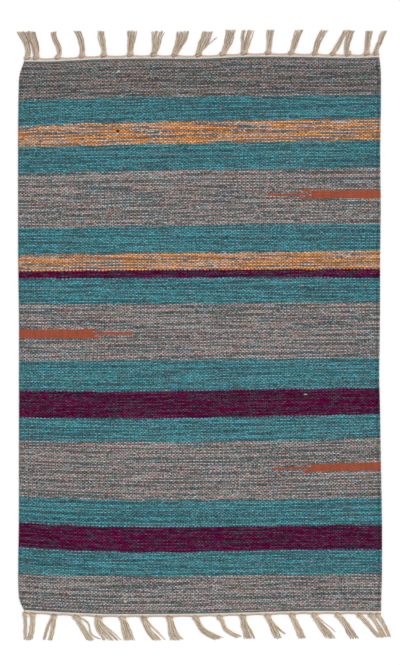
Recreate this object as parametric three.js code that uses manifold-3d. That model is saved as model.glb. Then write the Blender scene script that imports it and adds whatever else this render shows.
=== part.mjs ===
// Kilim rug, lying flat: a striped flat weave with a knotted cotton fringe at each end.
//
// Millimetres, +Z up. X runs across the rug, along the wefts, and Y along the warps. The rug
// rests on Z = 0. The stripes, the inset bars and the weave are colour and fine relief, so they
// aren't in these solids. The three pieces are the woven field and, at each end, the cream
// heading with its knots and tassels.

import * as THREE from 'three';
import { mergeVertices } from 'three/addons/utils/BufferGeometryUtils.js';
import Module from 'manifold-3d';

const wasm = await Module();
wasm.setup();

// Driving dimensions
const FIELD_WIDTH = 600;
const FIELD_LENGTH = 917;
const CLOTH_THICKNESS = 3.5;
const SELVEDGE_ROUNDING = 0.9;
const PIECE_GAP = 0.3;
const OUTLINE_STEP = 16;
const HEADING_STEP = 9;

const HEADING_THICKNESS = 3;
const SCALLOP_RISE = 1.6;
const SCALLOP_HALF_WIDTH = 9;

const KNOT_WIDTH = 11.5;
const KNOT_LENGTH = 8;
const KNOT_HEIGHT = 6.4;
const KNOT_OUT = 7.4;
const KNOT_ROUNDNESS = 1.4;
const KNOT_GROOVE_DEPTH = 0.16;
const KNOT_GROOVE_WIDTH = 0.3;
const KNOT_GROOVE_NORMAL = { across: 0.8, out: 0.6 };

const STRAND_START = 0.8;
const STRAND_LIFT_IN_KNOT = 0.8;
const ROOTS_WIDTH = 7.4;
const STRAND_FILL = 0.62;
const STRAND_HEIGHT = { knot: 2.4, middle: 2.2, tip: 1.1 };
const STRAND_STEPS = 4;
const TIP_UNEVENNESS = 2.2;
const TIP_UNEVENNESS_TURN = 2.4;

// How far each selvedge lies inside its straight line, up the rug. The left one is drawn in at
// both corners, where the heading pulls the warps together.
const SELVEDGES = [
  { y: -458, left: 8.5, right: -0.5 },
  { y: -449, left: 3.8, right: -0.5 },
  { y: -437, left: 0.5, right: -0.8 },
  { y: -400, left: -0.8, right: -1.8 },
  { y: -310, left: 0.3, right: -1.8 },
  { y: -210, left: 0.5, right: 0 },
  { y: -130, left: 0.5, right: 1.4 },
  { y: -70, left: 0.5, right: 2.6 },
  { y: 30, left: 0.5, right: 1.4 },
  { y: 120, left: -0.8, right: 1.2 },
  { y: 210, left: -1, right: 0.2 },
  { y: 290, left: -1, right: 1 },
  { y: 370, left: -0.8, right: 0 },
  { y: 430, left: 0.6, right: 0 },
  { y: 441, left: 2.4, right: 0.6 },
  { y: 450, left: 5.6, right: 1.4 },
  { y: 458, left: 8.6, right: 2.4 },
];

// How far each end of the field reaches past its straight line, across the rug
const ENDS = [
  { x: -300, upper: -5.2, lower: -3.8 },
  { x: -248, upper: -5.6, lower: -0.7 },
  { x: -165, upper: -1.8, lower: 3 },
  { x: -82, upper: -0.7, lower: 3.2 },
  { x: 0, upper: -1, lower: 2.6 },
  { x: 83, upper: 2.3, lower: 0.5 },
  { x: 166, upper: 2, lower: -1.6 },
  { x: 250, upper: 0.3, lower: -1.8 },
  { x: 300, upper: 1.8, lower: -1.6 },
];

// One row for each tassel, left to right: where it leaves its knot, where its middle and its
// tips lie across the rug, how far the tips reach out from the field, and how wide they fan.
const UPPER_TASSELS = [
  { root: -285.5, middle: -287, tip: -300.5, reach: 50, fan: 9, strands: 5 },
  { root: -271, middle: -273.5, tip: -282, reach: 51, fan: 12, strands: 6 },
  { root: -235, middle: -239, tip: -241, reach: 50.5, fan: 10, strands: 6 },
  { root: -195, middle: -195.5, tip: -203, reach: 49, fan: 12, strands: 6 },
  { root: -159, middle: -160.5, tip: -163, reach: 47.5, fan: 11, strands: 6 },
  { root: -115, middle: -114, tip: -112.5, reach: 47.5, fan: 15, strands: 7 },
  { root: -76, middle: -74, tip: -70, reach: 46.5, fan: 17, strands: 7 },
  { root: -41, middle: -36, tip: -27.5, reach: 46.5, fan: 19, strands: 7 },
  { root: -1.5, middle: 4, tip: 10.5, reach: 46.5, fan: 19, strands: 7 },
  { root: 38.5, middle: 45.5, tip: 49.5, reach: 47, fan: 16, strands: 7 },
  { root: 74, middle: 75.5, tip: 79, reach: 45.5, fan: 23, strands: 8 },
  { root: 113.5, middle: 115.5, tip: 118, reach: 45.5, fan: 13, strands: 6 },
  { root: 152, middle: 158, tip: 165, reach: 45.5, fan: 13, strands: 6 },
  { root: 191, middle: 197, tip: 205.5, reach: 46, fan: 12, strands: 6 },
  { root: 221, middle: 229, tip: 236, reach: 46.5, fan: 8, strands: 5 },
  { root: 246, middle: 246.5, tip: 251, reach: 46.5, fan: 11, strands: 6 },
  { root: 277, middle: 279, tip: 282, reach: 45.5, fan: 11, strands: 6 },
  { root: 292, middle: 298, tip: 308, reach: 45, fan: 8, strands: 5 },
];

const LOWER_TASSELS = [
  { root: -289, middle: -290, tip: -290, reach: 49.5, fan: 6, strands: 4 },
  { root: -276.5, middle: -275.5, tip: -278, reach: 49.5, fan: 11, strands: 6 },
  { root: -241, middle: -244, tip: -251, reach: 48, fan: 15, strands: 7 },
  { root: -205, middle: -192, tip: -178, reach: 46.5, fan: 15, strands: 7 },
  { root: -167, middle: -161, tip: -147, reach: 44.5, fan: 20, strands: 8 },
  { root: -127.5, middle: -122.5, tip: -116, reach: 44, fan: 17, strands: 7 },
  { root: -92, middle: -86, tip: -69, reach: 44, fan: 19, strands: 7 },
  { root: -49.5, middle: -47, tip: -34, reach: 44, fan: 15, strands: 7 },
  { root: -6, middle: 5, tip: 29, reach: 42, fan: 13, strands: 7 },
  { root: 33.5, middle: 41, tip: 66, reach: 40, fan: 11, strands: 6 },
  { root: 72, middle: 75.5, tip: 84, reach: 44, fan: 15, strands: 7 },
  { root: 113, middle: 120.5, tip: 130, reach: 45, fan: 15, strands: 7 },
  { root: 154, middle: 161, tip: 171, reach: 46, fan: 12, strands: 6 },
  { root: 191, middle: 202, tip: 218, reach: 46, fan: 13, strands: 6 },
  { root: 230, middle: 240, tip: 256.5, reach: 46.5, fan: 14, strands: 7 },
  { root: 265.5, middle: 278, tip: 293, reach: 44.5, fan: 9, strands: 5 },
  { root: 284, middle: 292, tip: 304.5, reach: 43.5, fan: 7, strands: 4 },
  { root: 296, middle: 304, tip: 315.5, reach: 43, fan: 7, strands: 4 },
];

// The two ends. Away is +1 where the fringe runs up the Y axis and -1 where it runs down it.
const FRINGES = [
  {
    name: 'upper_fringe',
    column: 'upper',
    away: 1,
    heading: 5.4,
    from: -291,
    to: 297.5,
    tassels: UPPER_TASSELS,
  },
  {
    name: 'lower_fringe',
    column: 'lower',
    away: -1,
    heading: 4.3,
    from: -291,
    to: 300,
    tassels: LOWER_TASSELS,
  },
];

const FIELD_FINISH = { color: 0x6c7a7d, roughness: 0.95, metalness: 0 };
const FRINGE_FINISH = { color: 0xd8c6a6, roughness: 0.9, metalness: 0 };

// A smooth curve through one column of a table, read at any place along its key
function readColumn(table, key, column, at) {
  const last = table.length - 1;
  const place = THREE.MathUtils.clamp(at, table[0][key], table[last][key]);
  const above = table.findIndex((row) => row[key] >= place);
  const i = Math.max(above, 1);
  const [before, low, high, after] = [i - 2, i - 1, i, i + 1].map(
    (n) => table[THREE.MathUtils.clamp(n, 0, last)],
  );
  const span = high[key] - low[key];
  const t = (place - low[key]) / span;
  const slopeLow = ((high[column] - before[column]) / (high[key] - before[key])) * span;
  const slopeHigh = ((after[column] - low[column]) / (after[key] - low[key])) * span;
  const rise = high[column] - low[column];
  return (
    low[column] +
    slopeLow * t +
    (3 * rise - 2 * slopeLow - slopeHigh) * t ** 2 +
    (slopeLow + slopeHigh - 2 * rise) * t ** 3
  );
}

// Y of one end of the field, at x across the rug
function fieldEnd(fringe, x) {
  return fringe.away * (FIELD_LENGTH / 2 + readColumn(ENDS, 'x', fringe.column, x));
}

// Evenly spaced places from one value to another, both ends included
function spaced(from, to, step) {
  const count = Math.ceil(Math.abs(to - from) / step);
  return Array.from({ length: count + 1 }, (_, i) => THREE.MathUtils.lerp(from, to, i / count));
}

// A flat sheet of the given outline and thickness, resting on Z = 0. Its edges are square, or
// chamfered by the rounding if one is given.
function flatSheet(outline, thickness, rounding = 0) {
  const geometry = new THREE.ExtrudeGeometry(new THREE.Shape(outline), {
    depth: thickness - 2 * rounding,
    bevelEnabled: rounding > 0,
    bevelThickness: rounding,
    bevelSize: rounding,
    bevelOffset: -rounding,
    bevelSegments: 1,
  });
  geometry.translate(0, 0, rounding);
  return geometry;
}

// The woven field: its two wavy ends joined by its two selvedges
function fieldGeometry() {
  const [upper, lower] = FRINGES;
  const selvedge = (side, column, y) => side * (FIELD_WIDTH / 2 - readColumn(SELVEDGES, 'y', column, y));
  const corner = (fringe, side, column) => {
    const x = selvedge(side, column, fringe.away * FIELD_LENGTH);
    return new THREE.Vector2(x, fieldEnd(fringe, x));
  };
  const [lowerLeft, lowerRight] = [corner(lower, -1, 'left'), corner(lower, 1, 'right')];
  const [upperLeft, upperRight] = [corner(upper, -1, 'left'), corner(upper, 1, 'right')];
  const along = (fringe, a, b) =>
    spaced(a.x, b.x, OUTLINE_STEP).map((x) => new THREE.Vector2(x, fieldEnd(fringe, x)));
  const upSide = (side, column, a, b) =>
    spaced(a.y, b.y, OUTLINE_STEP).map((y) => new THREE.Vector2(selvedge(side, column, y), y));
  const outline = [
    ...along(lower, lowerLeft, lowerRight).slice(0, -1),
    ...upSide(1, 'right', lowerRight, upperRight).slice(0, -1),
    ...along(upper, upperRight, upperLeft).slice(0, -1),
    ...upSide(-1, 'left', upperLeft, lowerLeft).slice(0, -1),
  ];
  return flatSheet(outline, CLOTH_THICKNESS, SELVEDGE_ROUNDING);
}

// The heading between the field and the knots. Its outer edge is pulled out at every knot.
function headingGeometry(fringe) {
  const xs = spaced(fringe.from, fringe.to, HEADING_STEP);
  const inner = xs.map((x) => new THREE.Vector2(x, fieldEnd(fringe, x) + fringe.away * PIECE_GAP));
  const outer = xs.map((x) => {
    const nearest = Math.min(...fringe.tassels.map((tassel) => Math.abs(x - tassel.root)));
    const pull = SCALLOP_RISE * Math.exp(-((nearest / SCALLOP_HALF_WIDTH) ** 2));
    return new THREE.Vector2(x, fieldEnd(fringe, x) + fringe.away * (fringe.heading + pull));
  });
  return flatSheet([...inner, ...outer.reverse()], HEADING_THICKNESS);
}

// An overhand knot lying on the floor: a flattened ball with a slanting groove between its turns
function knotGeometry(fringe, tassel) {
  const geometry = new THREE.SphereGeometry(1, 8, 4);
  const { across, out } = KNOT_GROOVE_NORMAL;
  const grooveNormal = new THREE.Vector3(across, out * fringe.away, 0).normalize();
  const points = geometry.attributes.position;
  const point = new THREE.Vector3();
  for (let i = 0; i < points.count; i += 1) {
    point.fromBufferAttribute(points, i);
    const offGroove = point.dot(grooveNormal) / KNOT_GROOVE_WIDTH;
    point.multiplyScalar(1 - KNOT_GROOVE_DEPTH * Math.exp(-(offGroove ** 2)));
    points.setXYZ(
      i,
      (point.x * KNOT_WIDTH) / 2,
      (point.y * KNOT_LENGTH) / 2,
      Math.max(0, (KNOT_HEIGHT * (1 + KNOT_ROUNDNESS * point.z)) / (1 + KNOT_ROUNDNESS)),
    );
  }
  geometry.translate(tassel.root, fieldEnd(fringe, tassel.root) + fringe.away * KNOT_OUT, 0);
  return geometry;
}

// A value that runs from knot to middle to tip, read at t from 0 to 1
function threeWay(sizes, t) {
  return t < 0.5
    ? THREE.MathUtils.lerp(sizes.knot, sizes.middle, 2 * t)
    : THREE.MathUtils.lerp(sizes.middle, sizes.tip, 2 * t - 1);
}

// One lock of the tassel: a three-sided strand whose flat side lies on the floor
function strandGeometry(fringe, tassel, index) {
  const side = index - (tassel.strands - 1) / 2;
  const knotPitch = ROOTS_WIDTH / tassel.strands;
  const tipPitch = tassel.fan / tassel.strands;
  const endY = fieldEnd(fringe, tassel.root);
  const uneven = TIP_UNEVENNESS * Math.sin(TIP_UNEVENNESS_TURN * index + tassel.root);
  const across = [tassel.root, tassel.middle, tassel.tip];
  const start = KNOT_OUT + STRAND_START;
  const out = [start, (start + tassel.reach) / 2, tassel.reach];
  const route = new THREE.CatmullRomCurve3(
    across.map((x, i) => new THREE.Vector3(x, endY + fringe.away * out[i], 0)),
  );
  const length = route.getLength();
  const positions = [];
  for (let step = 0; step <= STRAND_STEPS; step += 1) {
    const t = (step / STRAND_STEPS) * (1 + uneven / length - TIP_UNEVENNESS / length);
    const centre = route.getPointAt(t);
    const tangent = route.getTangentAt(t);
    const sideways = new THREE.Vector3(tangent.y, -tangent.x, 0).multiplyScalar(fringe.away);
    const pitch = THREE.MathUtils.lerp(knotPitch, tipPitch, Math.sqrt(t));
    const half = (pitch * STRAND_FILL) / 2;
    centre.addScaledVector(sideways, side * pitch);
    centre.z = step === 0 ? STRAND_LIFT_IN_KNOT : 0;
    const left = centre.clone().addScaledVector(sideways, -half);
    const right = centre.clone().addScaledVector(sideways, half);
    positions.push(...left, ...right, centre.x, centre.y, centre.z + threeWay(STRAND_HEIGHT, t));
  }
  const faces = [[0, 1, 2]];
  for (let ring = 0; ring < STRAND_STEPS; ring += 1) {
    for (let corner = 0; corner < 3; corner += 1) {
      const [a, b] = [3 * ring + corner, 3 * ring + ((corner + 1) % 3)];
      faces.push([a, a + 3, b + 3], [a, b + 3, b]);
    }
  }
  const end = 3 * STRAND_STEPS;
  faces.push([end, end + 2, end + 1]);
  const outwards = fringe.away > 0 ? faces : faces.map(([a, b, c]) => [a, c, b]);
  const geometry = new THREE.BufferGeometry();
  geometry.setAttribute('position', new THREE.Float32BufferAttribute(positions, 3));
  geometry.setIndex(outwards.flat());
  return geometry;
}

// A closed mesh as a solid that can be joined to others
function solidOf(geometry) {
  geometry.deleteAttribute('normal');
  geometry.deleteAttribute('uv');
  const merged = mergeVertices(geometry, 1e-5);
  return new wasm.Manifold(
    new wasm.Mesh({
      numProp: 3,
      vertProperties: new Float32Array(merged.attributes.position.array),
      triVerts: new Uint32Array(merged.index.array),
    }),
  );
}

// Heading, knots and strands fused into one piece
function fringeGeometry(fringe) {
  const parts = [solidOf(headingGeometry(fringe))];
  for (const tassel of fringe.tassels) {
    parts.push(solidOf(knotGeometry(fringe, tassel)));
    for (let index = 0; index < tassel.strands; index += 1) {
      parts.push(solidOf(strandGeometry(fringe, tassel, index)));
    }
  }
  const joined = wasm.Manifold.union(parts).getMesh();
  const geometry = new THREE.BufferGeometry();
  geometry.setAttribute('position', new THREE.BufferAttribute(joined.vertProperties, joined.numProp));
  geometry.setIndex(new THREE.BufferAttribute(joined.triVerts, 1));
  geometry.computeVertexNormals();
  return geometry;
}

function piece(name, geometry, finish) {
  const mesh = new THREE.Mesh(geometry, new THREE.MeshStandardMaterial(finish));
  mesh.name = name;
  return mesh;
}

// The whole rug, moved so that the middle of its outline lies on the origin
function rug() {
  const group = new THREE.Group();
  group.add(piece('woven_field', fieldGeometry(), FIELD_FINISH));
  for (const fringe of FRINGES) {
    group.add(piece(fringe.name, fringeGeometry(fringe), FRINGE_FINISH));
  }
  const middle = new THREE.Box3().setFromObject(group).getCenter(new THREE.Vector3());
  group.position.set(-middle.x, -middle.y, 0);
  return group;
}

export default rug();
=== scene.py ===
"""Looks of a flat-woven striped rug with a knotted cotton fringe at each end.

The tables give millimetres in the rug's own frame, with X along the wefts, Y along the warps and
the middle of the woven field on the origin. Meshes are made in metres, in the frame of the
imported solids.
"""

import logging
import math
from dataclasses import dataclass, field
from enum import Enum
from typing import NamedTuple, Optional, Sequence, Union

import bpy
import numpy as np
from bpy.types import ID, Material, Node, NodeSocket, Object
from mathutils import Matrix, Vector


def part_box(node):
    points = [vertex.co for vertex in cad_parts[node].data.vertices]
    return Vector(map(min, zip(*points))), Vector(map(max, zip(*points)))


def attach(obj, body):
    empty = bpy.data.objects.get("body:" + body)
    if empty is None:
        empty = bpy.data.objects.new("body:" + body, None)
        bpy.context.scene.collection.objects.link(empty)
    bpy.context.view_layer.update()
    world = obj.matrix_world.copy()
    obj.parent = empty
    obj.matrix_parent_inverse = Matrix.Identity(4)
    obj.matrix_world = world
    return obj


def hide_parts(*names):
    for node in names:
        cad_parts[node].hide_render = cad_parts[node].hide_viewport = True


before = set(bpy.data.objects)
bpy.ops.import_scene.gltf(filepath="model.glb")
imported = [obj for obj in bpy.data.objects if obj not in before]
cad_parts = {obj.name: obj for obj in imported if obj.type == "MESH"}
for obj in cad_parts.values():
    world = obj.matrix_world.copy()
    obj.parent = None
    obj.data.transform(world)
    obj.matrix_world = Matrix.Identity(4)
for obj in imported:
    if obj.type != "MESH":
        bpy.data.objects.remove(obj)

LOG = logging.getLogger("rug")
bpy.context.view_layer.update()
MM = 0.001
SEED = 1917
FLOAT_TAPER = 0.12
YARN_STRIDE = 8.0
HEADING_SLOT = 0
COTTON_SLOT = 1
KNOT_SHADOW_SLOT = 2
HALF_MAP = 0.49
MAP_EDGE = 0.002

Value = Union[float, "Signal"]
Shade = Union[Sequence[float], "Signal"]
Input = Union[Value, Shade]
Inputs = Union[Sequence[Input], dict[str, Input]]


class Yarn(Enum):
    """The wefts that the field is woven from, and the flaws that are spun into them."""

    GREY = 0
    TEAL = 1
    ORANGE = 2
    PURPLE = 3
    RUST = 4
    EDGE = 5
    BURR = 6
    SLUB = 7


class Selvedge(NamedTuple):
    """How far each selvedge lies inside its straight line, at y up the rug."""

    y: float
    left: float
    right: float


class FieldEnd(NamedTuple):
    """How far each end of the field reaches past its straight line, at x across the rug."""

    x: float
    upper: float
    lower: float


class Stripe(NamedTuple):
    """One stripe: its yarn, how light it is, and the line of its lower edge.

    The line lies at a height on the middle warp. Over half the rug's width it climbs by tilt,
    sags by bow and wavers by sway.
    """

    yarn: Yarn
    tone: float
    at: float
    tilt: float
    bow: float
    sway: float


class Inset(NamedTuple):
    """A block of rust wefts, by the warps and half picks that it lies between."""

    left: float
    right: float
    low: float
    high: float


class Flaw(NamedTuple):
    """One float that stands out from its stripe, by its warp and pick."""

    warp: int
    pick: int
    yarn: Yarn


class Groove(NamedTuple):
    """Painted shade of a shallow dip along the rug, by the warps where it starts, is full, rises and ends.
    """

    starts: float
    full: float
    rises: float
    ends: float


class Lock(NamedTuple):
    """A bunch of yarns: its place across the rug from root to tip, its reach, fan and yarns."""

    root: float
    near: float
    far: float
    tip: float
    reach: float
    fan: float
    yarns: int


SELVEDGES = (
    Selvedge(y=-458, left=8.5, right=-0.5),
    Selvedge(y=-449, left=3.8, right=-0.5),
    Selvedge(y=-437, left=0.5, right=-0.8),
    Selvedge(y=-400, left=-0.8, right=-1.8),
    Selvedge(y=-310, left=0.3, right=-1.8),
    Selvedge(y=-210, left=0.5, right=0),
    Selvedge(y=-130, left=0.5, right=1.4),
    Selvedge(y=-70, left=0.5, right=2.6),
    Selvedge(y=30, left=0.5, right=1.4),
    Selvedge(y=120, left=-0.8, right=1.2),
    Selvedge(y=210, left=-1, right=0.2),
    Selvedge(y=290, left=-1, right=1),
    Selvedge(y=370, left=-0.8, right=0),
    Selvedge(y=430, left=0.6, right=0),
    Selvedge(y=441, left=2.4, right=0.6),
    Selvedge(y=450, left=5.6, right=1.4),
    Selvedge(y=458, left=8.6, right=2.4),
)

FIELD_ENDS = (
    FieldEnd(x=-300, upper=-5.2, lower=-3.8),
    FieldEnd(x=-248, upper=-5.6, lower=-0.7),
    FieldEnd(x=-165, upper=-1.8, lower=3),
    FieldEnd(x=-82, upper=-0.7, lower=3.2),
    FieldEnd(x=0, upper=-1, lower=2.6),
    FieldEnd(x=83, upper=2.3, lower=0.5),
    FieldEnd(x=166, upper=2, lower=-1.6),
    FieldEnd(x=250, upper=0.3, lower=-1.8),
    FieldEnd(x=300, upper=1.8, lower=-1.6),
)

# From the upper end down. The last stripe ends on the field's own lower edge.
STRIPES = (
    Stripe(Yarn.GREY, tone=0.735, at=395.7, tilt=4.44, bow=-2.23, sway=2.74),
    Stripe(Yarn.TEAL, tone=0.95, at=355.5, tilt=5.64, bow=-2.69, sway=3.23),
    Stripe(Yarn.ORANGE, tone=1, at=318.8, tilt=5.48, bow=-0.63, sway=-1.11),
    Stripe(Yarn.TEAL, tone=0.98, at=274.7, tilt=4.8, bow=-0.92, sway=0.38),
    Stripe(Yarn.GREY, tone=1, at=182.4, tilt=3.89, bow=-0.95, sway=-2.34),
    Stripe(Yarn.TEAL, tone=1, at=138, tilt=3.48, bow=-1.04, sway=2.45),
    Stripe(Yarn.ORANGE, tone=1, at=109.2, tilt=1.78, bow=-0.34, sway=0.61),
    Stripe(Yarn.PURPLE, tone=1, at=96.2, tilt=0.7, bow=-0.66, sway=-0.89),
    Stripe(Yarn.TEAL, tone=1, at=54, tilt=1.58, bow=0.97, sway=-1.23),
    Stripe(Yarn.GREY, tone=1, at=-39.5, tilt=2.93, bow=0.49, sway=-0.17),
    Stripe(Yarn.TEAL, tone=1.02, at=-90.3, tilt=3.14, bow=2.06, sway=-2.57),
    Stripe(Yarn.PURPLE, tone=1, at=-134.4, tilt=3.44, bow=3.22, sway=-2.29),
    Stripe(Yarn.TEAL, tone=1.02, at=-174.2, tilt=2.25, bow=4.82, sway=0.03),
    Stripe(Yarn.GREY, tone=1, at=-270.8, tilt=0.1, bow=6.43, sway=-2.72),
    Stripe(Yarn.TEAL, tone=1.02, at=-315.1, tilt=-0.2, bow=5.03, sway=-4.99),
    Stripe(Yarn.PURPLE, tone=1, at=-355.9, tilt=0.45, bow=5.75, sway=-6.37),
    Stripe(Yarn.TEAL, tone=1, at=-396.6, tilt=1.18, bow=3.76, sway=-6.04),
    Stripe(Yarn.GREY, tone=1, at=-458.5, tilt=0, bow=0, sway=0),
)

# The three rust bars: each a main block, the prongs that end it, and its long thin tail
INSETS = (
    Inset(left=159.5, right=199, low=276.5, high=282),
    Inset(left=155, right=159.5, low=281, high=283),
    Inset(left=154, right=159.5, low=276, high=277.5),
    Inset(left=136.5, right=158.5, low=278.5, high=280),
    Inset(left=-1, right=40.5, low=184.5, high=190.5),
    Inset(left=36, right=38, low=190.5, high=191.5),
    Inset(left=40.5, right=43.5, low=189, high=190.5),
    Inset(left=40.5, right=44.5, low=184.5, high=186),
    Inset(left=40.5, right=63, low=187, high=188.5),
    Inset(left=160.5, right=199, low=93.5, high=98.5),
    Inset(left=157, right=160.5, low=98, high=99.5),
    Inset(left=155.5, right=160.5, low=93, high=94.5),
    Inset(left=139, right=160.5, low=95.5, high=97),
)

FLAWS = (
    Flaw(warp=54, pick=324, yarn=Yarn.BURR),
    Flaw(warp=54, pick=364, yarn=Yarn.SLUB),
    Flaw(warp=174, pick=316, yarn=Yarn.SLUB),
    Flaw(warp=58, pick=8, yarn=Yarn.SLUB),
)

GROOVE = Groove(starts=195.4, full=196.2, rises=196.8, ends=197.4)

UPPER_TASSELS = (
    Lock(root=-285.5, near=-284.5, far=-289.5, tip=-297, reach=50, fan=13.5, yarns=12),
    Lock(root=-271, near=-272, far=-276.5, tip=-282, reach=51, fan=16.5, yarns=14),
    Lock(root=-235, near=-233.5, far=-240.5, tip=-241, reach=50.5, fan=10.5, yarns=11),
    Lock(root=-195, near=-194, far=-197, tip=-204, reach=49, fan=11.5, yarns=13),
    Lock(root=-159, near=-158.5, far=-161.5, tip=-162.5, reach=47.5, fan=11, yarns=12),
    Lock(root=-115, near=-114.5, far=-113.5, tip=-113, reach=47.5, fan=15, yarns=14),
    Lock(root=-76, near=-72.5, far=-71.5, tip=-68.5, reach=46.5, fan=17.5, yarns=14),
    Lock(root=-41, near=-36, far=-30.5, tip=-27.5, reach=46.5, fan=19, yarns=14),
    Lock(root=-1.5, near=2.5, far=8.5, tip=12.5, reach=46.5, fan=18, yarns=14),
    Lock(root=38.5, near=45, far=48.5, tip=51.5, reach=47, fan=17.5, yarns=14),
    Lock(root=74, near=75.5, far=77.5, tip=80.5, reach=45.5, fan=21.5, yarns=16),
    Lock(root=113.5, near=116, far=117, tip=118, reach=45.5, fan=13.5, yarns=12),
    Lock(root=152, near=157.5, far=161, tip=166.5, reach=45.5, fan=12.5, yarns=12),
    Lock(root=191, near=194.5, far=199, tip=207, reach=46, fan=11.5, yarns=12),
    Lock(root=221, near=229, far=236, tip=244, reach=46.5, fan=8.5, yarns=10),
    Lock(root=246, near=244, far=247.5, tip=252, reach=46.5, fan=11.5, yarns=12),
    Lock(root=277, near=278, far=279.5, tip=282, reach=45.5, fan=12.5, yarns=12),
    Lock(root=292, near=296, far=301, tip=308, reach=45, fan=8, yarns=8),
)

LOWER_TASSELS = (
    Lock(root=-289, near=-289, far=-289, tip=-289, reach=49.5, fan=6, yarns=7),
    Lock(root=-276.5, near=-276, far=-278.5, tip=-282.5, reach=49.5, fan=9.5, yarns=11),
    Lock(root=-241, near=-242, far=-244.5, tip=-247.5, reach=48, fan=8.5, yarns=9),
    Lock(root=-205, near=-197, far=-189, tip=-180.5, reach=46.5, fan=11, yarns=12),
    Lock(root=-167, near=-165.5, far=-156.5, tip=-146.5, reach=44.5, fan=25.5, yarns=16),
    Lock(root=-127.5, near=-124, far=-120.5, tip=-116.5, reach=44, fan=20, yarns=14),
    Lock(root=-92, near=-88.5, far=-81, tip=-70, reach=44, fan=11.5, yarns=12),
    Lock(root=-49.5, near=-47.5, far=-44.5, tip=-36, reach=44, fan=17.5, yarns=14),
    Lock(root=-6, near=-1, far=9.5, tip=35, reach=42, fan=11.5, yarns=13),
    Lock(root=33.5, near=39.5, far=45.5, tip=67, reach=40, fan=8, yarns=10),
    Lock(root=72, near=74.5, far=78, tip=84, reach=44, fan=15, yarns=13),
    Lock(root=113, near=118.5, far=124, tip=129.5, reach=45, fan=12.5, yarns=12),
    Lock(root=154, near=159, far=165, tip=171, reach=46, fan=12, yarns=12),
    Lock(root=191, near=198.5, far=209, tip=218, reach=46, fan=12.5, yarns=12),
    Lock(root=230, near=240.5, far=248.5, tip=256.5, reach=46.5, fan=15, yarns=13),
    Lock(root=265.5, near=277, far=287.5, tip=301, reach=44.5, fan=9, yarns=9),
    Lock(root=284, near=293, far=299.5, tip=307, reach=43.5, fan=9, yarns=8),
    Lock(root=296, near=304, far=310, tip=314, reach=43, fan=7.5, yarns=8),
)

# Loose yarns, and the second half of a parted tassel, that have no knot of their own
UPPER_STRAYS = (
    Lock(root=-0.5, near=7, far=17.5, tip=28.5, reach=36, fan=2.5, yarns=2),
    Lock(root=-268, near=-270.5, far=-280.5, tip=-290.5, reach=50, fan=3.5, yarns=3),
    Lock(root=-74, near=-67, far=-63.5, tip=-57.5, reach=45, fan=1.5, yarns=1),
)

LOWER_STRAYS = (
    Lock(root=-243, near=-250, far=-255, tip=-258.5, reach=47.5, fan=6, yarns=5),
    Lock(root=-200, near=-183, far=-180.5, tip=-162, reach=44, fan=2.5, yarns=3),
    Lock(root=-88.5, near=-80, far=-68.5, tip=-57, reach=43, fan=3.5, yarns=2),
    Lock(root=74, near=79.5, far=85, tip=92.5, reach=42, fan=1.5, yarns=1),
    Lock(root=115.5, near=122, far=130.5, tip=141, reach=37, fan=5, yarns=3),
    Lock(root=193.5, near=195, far=200.5, tip=208.5, reach=43, fan=2.5, yarns=2),
    Lock(root=194, near=204, far=215, tip=225, reach=35, fan=1.5, yarns=1),
)


def linear(colour: str) -> tuple[float, float, float, float]:
    """Turns a written colour into the linear values that shaders take.

    Args:
        colour: Six hexadecimal digits, as read off a screen.

    Returns:
        Linear red, green and blue, and an alpha of 1.
    """
    channels = [int(colour[k:k + 2], 16) / 255 for k in (0, 2, 4)]
    lit = [c / 12.92 if c <= 0.04045 else ((c + 0.055) / 1.055) ** 2.4 for c in channels]
    return (*lit, 1.0)


def read_column(table: Sequence[NamedTuple], key: str, column: str, at: np.ndarray) -> np.ndarray:
    """Reads one column of a table as a smooth curve along its key.

    Args:
        table: Rows in rising order of the key.
        key: The column that places each row.
        column: The column to read.
        at: The places to read at.

    Returns:
        The curve's value at each place.
    """
    keys = np.array([getattr(row, key) for row in table], float)
    values = np.array([getattr(row, column) for row in table], float)
    slopes = np.gradient(values, keys)
    slopes[1:-1] = (values[2:] - values[:-2]) / (keys[2:] - keys[:-2])
    place = np.clip(at, keys[0], keys[-1])
    low = np.clip(np.searchsorted(keys, place, side="right") - 1, 0, len(keys) - 2)
    span = keys[low + 1] - keys[low]
    t = (place - keys[low]) / span
    rise = values[low + 1] - values[low]
    start, end = slopes[low] * span, slopes[low + 1] * span
    return values[low] + start * t + (3 * rise - 2 * start - end) * t**2 + (start + end - 2 * rise) * t**3


def smooth_noise(shape: tuple[int, int], cells: tuple[int, int], rng: np.random.Generator) -> np.ndarray:
    """Makes soft random hills over a grid.

    Args:
        shape: The grid's two counts of points.
        cells: How many hills fit along each way of the grid.
        rng: The seeded generator to draw from.

    Returns:
        Values from about -1 to 1, one for each point of the grid.
    """
    knots = rng.uniform(-1, 1, (cells[0] + 2, cells[1] + 2))
    rows = np.linspace(0, cells[0], shape[0])
    columns = np.linspace(0, cells[1], shape[1])
    i, j = rows.astype(int), columns.astype(int)
    s, t = rows - i, columns - j
    s, t = (s * s * (3 - 2 * s))[:, None], (t * t * (3 - 2 * t))[None, :]
    low = knots[np.ix_(i, j)] * (1 - t) + knots[np.ix_(i, j + 1)] * t
    high = knots[np.ix_(i + 1, j)] * (1 - t) + knots[np.ix_(i + 1, j + 1)] * t
    return low * (1 - s) + high * s


def add_object(name: str, data: ID) -> Object:
    """Makes an object of some data and links it to the scene.

    Args:
        name: The object's name.
        data: The mesh, lamp or camera that it shows.

    Returns:
        The new object.
    """
    made = bpy.data.objects.new(name, data)
    bpy.context.scene.collection.objects.link(made)
    return made


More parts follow.
